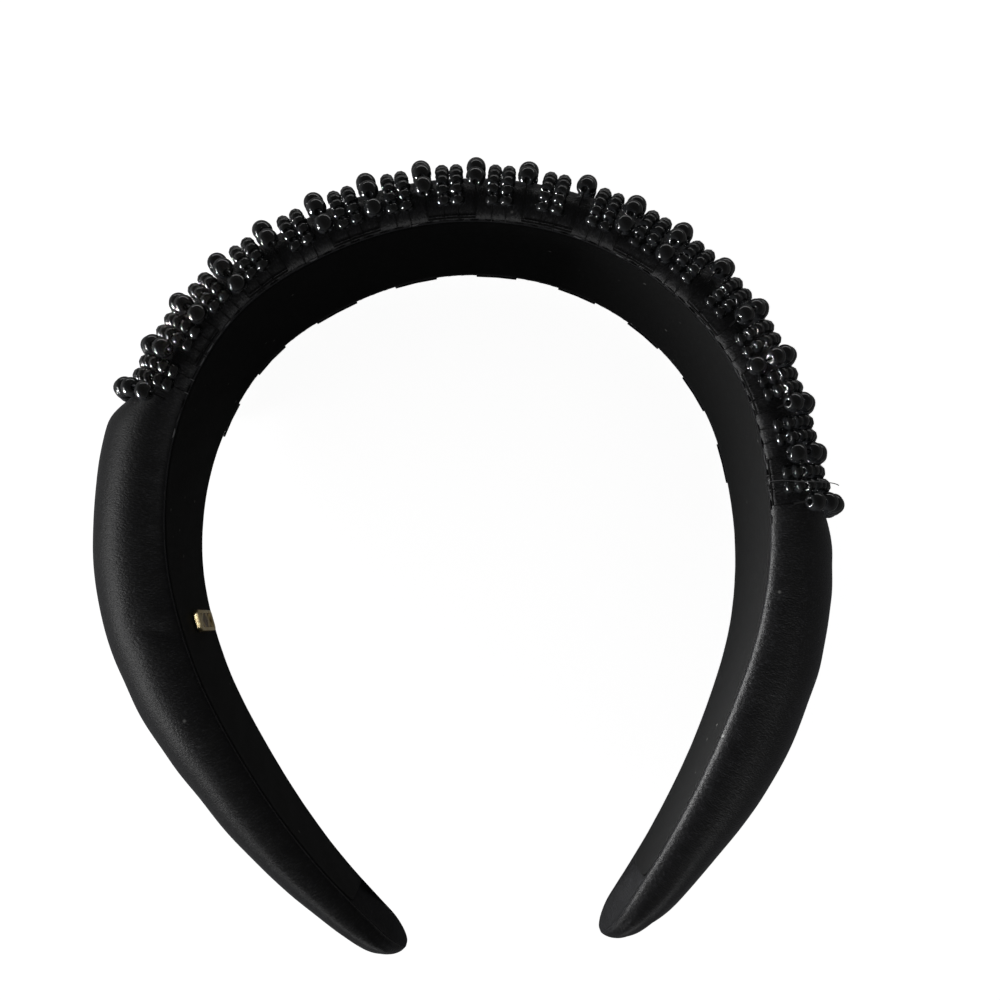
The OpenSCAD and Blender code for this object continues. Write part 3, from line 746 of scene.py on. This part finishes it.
def frames(way, away, tilt, seed):
    """Three unit vectors for each bead: its axis along way, tilted at random by up to tilt, two across it."""
    r = np.random.default_rng(seed)
    side = np.cross(way, away)
    lean = r.uniform(-tilt, tilt, (len(way), 2))
    axis = unit(way + lean[:, :1] * side + lean[:, 1:] * away)
    first = unit(np.cross(away, axis))
    return axis, first, np.cross(axis, first)


def beads_of(profile, sides, mids, axes, sizes):
    """Turned beads: a closed profile of [radius, height], revolved about each bead's axis at its middle."""
    axis, first, second = (v[:, None, None] for v in axes)
    turn = np.linspace(0, 2 * math.pi, sides, endpoint=False)[None, None, :, None]
    radius, height = (profile[None, :, None, i, None] * sizes[:, None, None, None] / 1000 for i in (0, 1))
    return mids[:, None, None] + height * axis + radius * (np.cos(turn) * first + np.sin(turn) * second)


# A cage of few faces, which a subdivision rounds: it stands out by as much as the rounding takes off
bead_sides, kept_along, kept_across = 12, 0.971, 0.966
ball = np.radians(np.array([20, 48, 76, 104, 132, 160]))
bore_at, bore_end = bore_d / 2 - 0.05, 1.7
bead_profile = np.concatenate([
    np.stack([np.sin(ball), np.cos(ball)], 1) * bead_d / 2 / kept_along,
    [[bore_at, -bore_end], [bore_at, bore_end]],
]) * [1 / kept_across, 1]
bead_off, bead_tilt, least_bead, most_bead = 0.04, 0.10, 0.985, 1.02
bead_look = chance.uniform(0, 1, len(bead_s))
bead_grid = beads_of(bead_profile, bead_sides,
                     bead_mid + chance.uniform(-bead_off, bead_off, bead_mid.shape) / 1000,
                     frames(bead_way, bead_away, bead_tilt, 41),
                     chance.uniform(least_bead, most_bead, len(bead_s)))

glass, tree, shader = finish_of("black_glass", Specular_IOR_Level=0.5, IOR=1.52)
object_map = wire(tree, "ShaderNodeTexCoord").outputs["Object"]
own = wire(tree, "ShaderNodeAttribute", attribute_name="look", attribute_type="GEOMETRY").outputs["Fac"]
patchy = placed(tree, smudge, Map=object_map, Scale=330.0)
specks = placed(tree, dust, Map=object_map, Scale=1500.0, Share=0.05)
haze = math_of(tree, "ADD", math_of(tree, "MULTIPLY", own, 0.5),
               math_of(tree, "MULTIPLY", patchy["Level"], 0.5))
black = mixed(tree, haze, (0.002, 0.0021, 0.0025), (0.007, 0.0074, 0.008))
tree.links.new(mixed(tree, math_of(tree, "MULTIPLY", specks["Mask"], 0.35), black, (0.25, 0.25, 0.25)),
               shader.inputs["Base Color"])
worn = wire(tree, "ShaderNodeMapRange", {"Value": haze, "To Min": 0.06, "To Max": 0.12})
tree.links.new(worn.outputs[0], shader.inputs["Roughness"])
bumped(tree, shader, patchy["Level"], 0.00002, 0.3)
round_beads = surface("round_beads", bead_grid, glass, loop=True,
                      look=np.broadcast_to(bead_look[:, None, None], bead_grid.shape[:3]))
rounding = round_beads.modifiers.new("rounding", "SUBSURF")
rounding.levels = rounding.render_levels = 1
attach(round_beads, "root")
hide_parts("large_beads")

# ---------------------------------------------------------------- Thread of the rows
# One waxed black thread runs through all rows and from row to row in long stitches beside the seams.
# Where a thread goes into a seam, a glint is painted on it: its colour is lightened to a pale grey, and it is
# made smoother.

cord, tree, shader = finish_of("waxed_thread", Specular_IOR_Level=0.35)
object_map = wire(tree, "ShaderNodeTexCoord").outputs["Object"]
ply = placed(tree, grain, Map=object_map, Along=2200.0, Across=2200.0)
# Painted glint: where this attribute is 1, the thread's colour is painted pale grey
taut = wire(tree, "ShaderNodeAttribute", attribute_name="taut", attribute_type="GEOMETRY").outputs["Fac"]
black = mixed(tree, ply["Fleck"], (0.002, 0.002, 0.0022), (0.007, 0.007, 0.0075))
tree.links.new(mixed(tree, taut, black, (0.40, 0.40, 0.41)), shader.inputs["Base Color"])
waxed = wire(tree, "ShaderNodeMapRange", {"Value": taut, "To Min": 0.6, "To Max": 0.25})
tree.links.new(waxed.outputs[0], shader.inputs["Roughness"])
bumped(tree, shader, ply["Height"], 0.0001)
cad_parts["bead_threads"].data.materials.clear()
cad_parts["bead_threads"].data.materials.append(cord)

# ---------------------------------------------------------------- Strings of seed beads
# Small round-edged glass beads on doubled strings, two strings between each two rows. A string comes up
# from the upper seam, crosses the band, turns at the lower seam and runs back beside itself.

seed_d, seed_l, seed_pitch, seed_bore, pair_gap = 2.9, 1.95, 2.3, 0.8, 0.25
seed_from, seed_to, seed_turn = -28.0, 190.0, 14.0
seed_h = bead_clear + seed_d / 2
run_samples = 90

# Each string's path: up over the band, round the turn, and back at the other side of the pair's middle.
# The two runs stay equally far apart, so they part less along the course where the skin is further out
climb = np.linspace(seed_from, seed_to, run_samples)
bend = np.radians(np.linspace(0, 180, 13))[1:-1]
around_g = np.concatenate([climb, seed_to + seed_turn * np.sin(bend), climb[::-1]])
share = np.concatenate([-np.ones(run_samples), -np.cos(bend), np.ones(run_samples)])


def pair_s(middle, g, share):
    """Place along the course of a string that lies a share of half the pair's width off its middle."""
    b = skin(middle, g)[0][..., 1] + seed_h
    stretch = np.linalg.norm(place(middle + 0.5, 0, b) - place(middle - 0.5, 0, b), axis=-1) * 1000
    return middle + share * (seed_d + pair_gap) / 2 / stretch


middle = (row_s[:-1, None] + row_s[1:, None]) / 2
path_s = pair_s(middle, around_g, share)
path_g = np.broadcast_to(around_g, path_s.shape)
path_at, path_away = on_skin(path_s, path_g, np.full(path_s.shape, seed_h))

seed_slip = 0.07
seed_mid, seed_way, seed_away = [], [], []
for line, away in zip(path_at, path_away):
    run = np.concatenate([[0], np.cumsum(np.linalg.norm(np.diff(line, axis=0), axis=1))]) * 1000
    n = int(run[-1] / seed_pitch)
    at = (np.arange(n) + 0.5) * run[-1] / n + chance.uniform(-seed_slip, seed_slip, n)
    point = [np.stack([np.interp(at + d, run, line[:, i]) for i in range(3)], 1) for d in (-0.5, 0.0, 0.5)]
    seed_mid.append(point[1])
    seed_way.append(point[2] - point[0])
    seed_away.append(np.stack([np.interp(at, run, away[:, i]) for i in range(3)], 1))
seed_mid, seed_way, seed_away = (np.concatenate(v) for v in (seed_mid, seed_way, seed_away))
seed_way = unit(seed_way)
seed_away = unit_off(seed_away, seed_way)

half_seed, bore = seed_l / 2, seed_bore / 2
seed_profile = np.array([
    [0.80 * seed_d / 2, 0.86 * half_seed], [seed_d / 2, 0.36 * half_seed], [seed_d / 2, -0.36 * half_seed],
    [0.80 * seed_d / 2, -0.86 * half_seed], [bore + 0.10, -half_seed], [bore, 0.0], [bore + 0.10, half_seed],
])
seed_sides, seed_off, seed_tilt, least_seed, most_seed = 10, 0.05, 0.14, 1.02, 1.09
seed_look = chance.uniform(0, 1, len(seed_mid))
seed_grid = beads_of(seed_profile, seed_sides,
                     seed_mid + chance.uniform(-seed_off, seed_off, seed_mid.shape) / 1000,
                     frames(seed_way, seed_away, seed_tilt, 43),
                     chance.uniform(least_seed, most_seed, len(seed_mid)))

seed_glass, tree, shader = finish_of("seed_glass", Specular_IOR_Level=0.5, IOR=1.52)
object_map = wire(tree, "ShaderNodeTexCoord").outputs["Object"]
own = wire(tree, "ShaderNodeAttribute", attribute_name="look", attribute_type="GEOMETRY").outputs["Fac"]
patchy = placed(tree, smudge, Map=object_map, Scale=500.0)
haze = math_of(tree, "ADD", math_of(tree, "MULTIPLY", own, 0.6),
               math_of(tree, "MULTIPLY", patchy["Level"], 0.4))
tree.links.new(mixed(tree, haze, (0.002, 0.0021, 0.0025), (0.007, 0.0074, 0.008)),
               shader.inputs["Base Color"])
worn = wire(tree, "ShaderNodeMapRange", {"Value": haze, "To Min": 0.06, "To Max": 0.14})
tree.links.new(worn.outputs[0], shader.inputs["Roughness"])
bumped(tree, shader, patchy["Level"], 0.00002, 0.3)
seeds = surface("seed_beads", seed_grid, seed_glass, loop=True,
                look=np.broadcast_to(seed_look[:, None, None], seed_grid.shape[:3]))
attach(seeds, "root")
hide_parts("seed_strings")
only_on(bead_window, round_beads, seeds, shades=[tag])


def tubes(lines, aways, radius, sides):
    """Round tubes along like lines of points: a ring square to the line stands at each point."""
    way = unit(np.gradient(lines, axis=1))
    side = unit(np.cross(aways, way))
    turn = np.linspace(0, 2 * math.pi, sides, endpoint=False)[None, None, :, None]
    up, across = np.cross(way, side)[:, :, None], side[:, :, None]
    return lines[:, :, None] + radius / 1000 * (np.cos(turn) * up + np.sin(turn) * across)


# The strings' thread, with a leg from each string's end down to the upper seam. Near the seam a glint is
# painted on the legs as a lighter grey, in some strings more than in others
thread_r, thread_sides = 0.12, 6
leg_g = np.array([-84.0, -76.0, -67.0, -57.0, -47.0, -37.0])
leg_h = np.array([0.08, 0.15, 0.2, 0.25, 0.4, 0.9])
thread_g = np.concatenate([leg_g, around_g[::3], leg_g[::-1]])
thread_h = np.concatenate([leg_h, np.full(len(around_g[::3]), seed_h), leg_h[::-1]])
thread_share = np.concatenate([-np.ones(len(leg_g)), share[::3], np.ones(len(leg_g))])
thread_at, thread_away = on_skin(pair_s(middle, thread_g, thread_share), thread_g, thread_h)
# Painted glint: how much lighter grey each point of a leg near the seam is painted
glint_painted = np.concatenate([[1, 1, 0.8], np.zeros(len(thread_g) - 6), [0.8, 1, 1]])
glint_painted = glint_painted * chance.uniform(0, 1, (len(middle), 1)) ** 2
seed_threads = surface("seed_threads", tubes(thread_at, thread_away, thread_r, thread_sides), cord, caps=True,
                       taut=np.broadcast_to(glint_painted[..., None], glint_painted.shape + (thread_sides,)))
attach(seed_threads, "root")

# One end of thread has worked loose at the right end of the beadwork: it leaves the upper seam, climbs on
# to the beads and lies over them
loose_r, loose_points, painted_loose_glint = 0.10, 24, 0.35
loose_from, loose_to, loose_rise, loose_back = -86, 40, 4.6, 3.9
loose_g = np.linspace(loose_from, loose_to, loose_points)[None]
loose_h = 0.1 + loose_rise * step_up((loose_g - loose_from) / 60) + 0.3 * np.sin(loose_g / 14)
loose_at, loose_away = on_skin(last_s - loose_back + 0.9 * np.sin(loose_g / 30), loose_g, loose_h)
# The whole loose thread is painted a little lighter grey: a painted glint
loose_thread = surface("loose_thread", tubes(loose_at, loose_away, loose_r, thread_sides), cord, caps=True,
                       taut=np.full((1, loose_points, thread_sides), painted_loose_glint))
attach(loose_thread, "root")

# ---------------------------------------------------------------- Stitches
# A row of short stitches in the same thread along both seams of the crown, just outside the seam, each sunk
# at its ends. Some of them, at random, are painted a lighter grey, so the seams show a line of small painted
# glints.

stitch_long, stitch_r, stitch_h, stitches_past = 2.1, 0.17, 0.10, 6
upper_g, lower_g, lower_sunk = -78.0, 250.0, 0.16
stitch_s = np.arange(first_s - stitches_past, last_s + stitches_past, stitch_pitch)
step = np.linspace(-0.5, 0.5, 7)
one_s = stitch_s[:, None] + stitch_long * step
one_h = stitch_h * np.cos(math.pi * step) + 0 * one_s
stitch_lines, stitch_aways = (np.concatenate(v) for v in zip(
    on_skin(one_s, upper_g, one_h), on_skin(one_s, lower_g, one_h - lower_sunk)))

# Tubes of radius 1, made as thick as an ellipse that nearly closes at both ends
thick = (stitch_r * np.sqrt(1 - (1.9 * step) ** 2 * 0.98))[None, :, None, None]
stitch_mid = stitch_lines[:, :, None]
stitch_grid = stitch_mid + (tubes(stitch_lines, stitch_aways, 1.0, thread_sides) - stitch_mid) * thick
# Painted glints: a few stitches, chosen at random, are painted lighter grey
painted_stitch_glint = chance.uniform(0, 1, len(stitch_grid)) ** 3
stitches = surface("seam_stitches", stitch_grid, cord, caps=True,
                   taut=np.broadcast_to(painted_stitch_glint[:, None, None], stitch_grid.shape[:3]))
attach(stitches, "root")
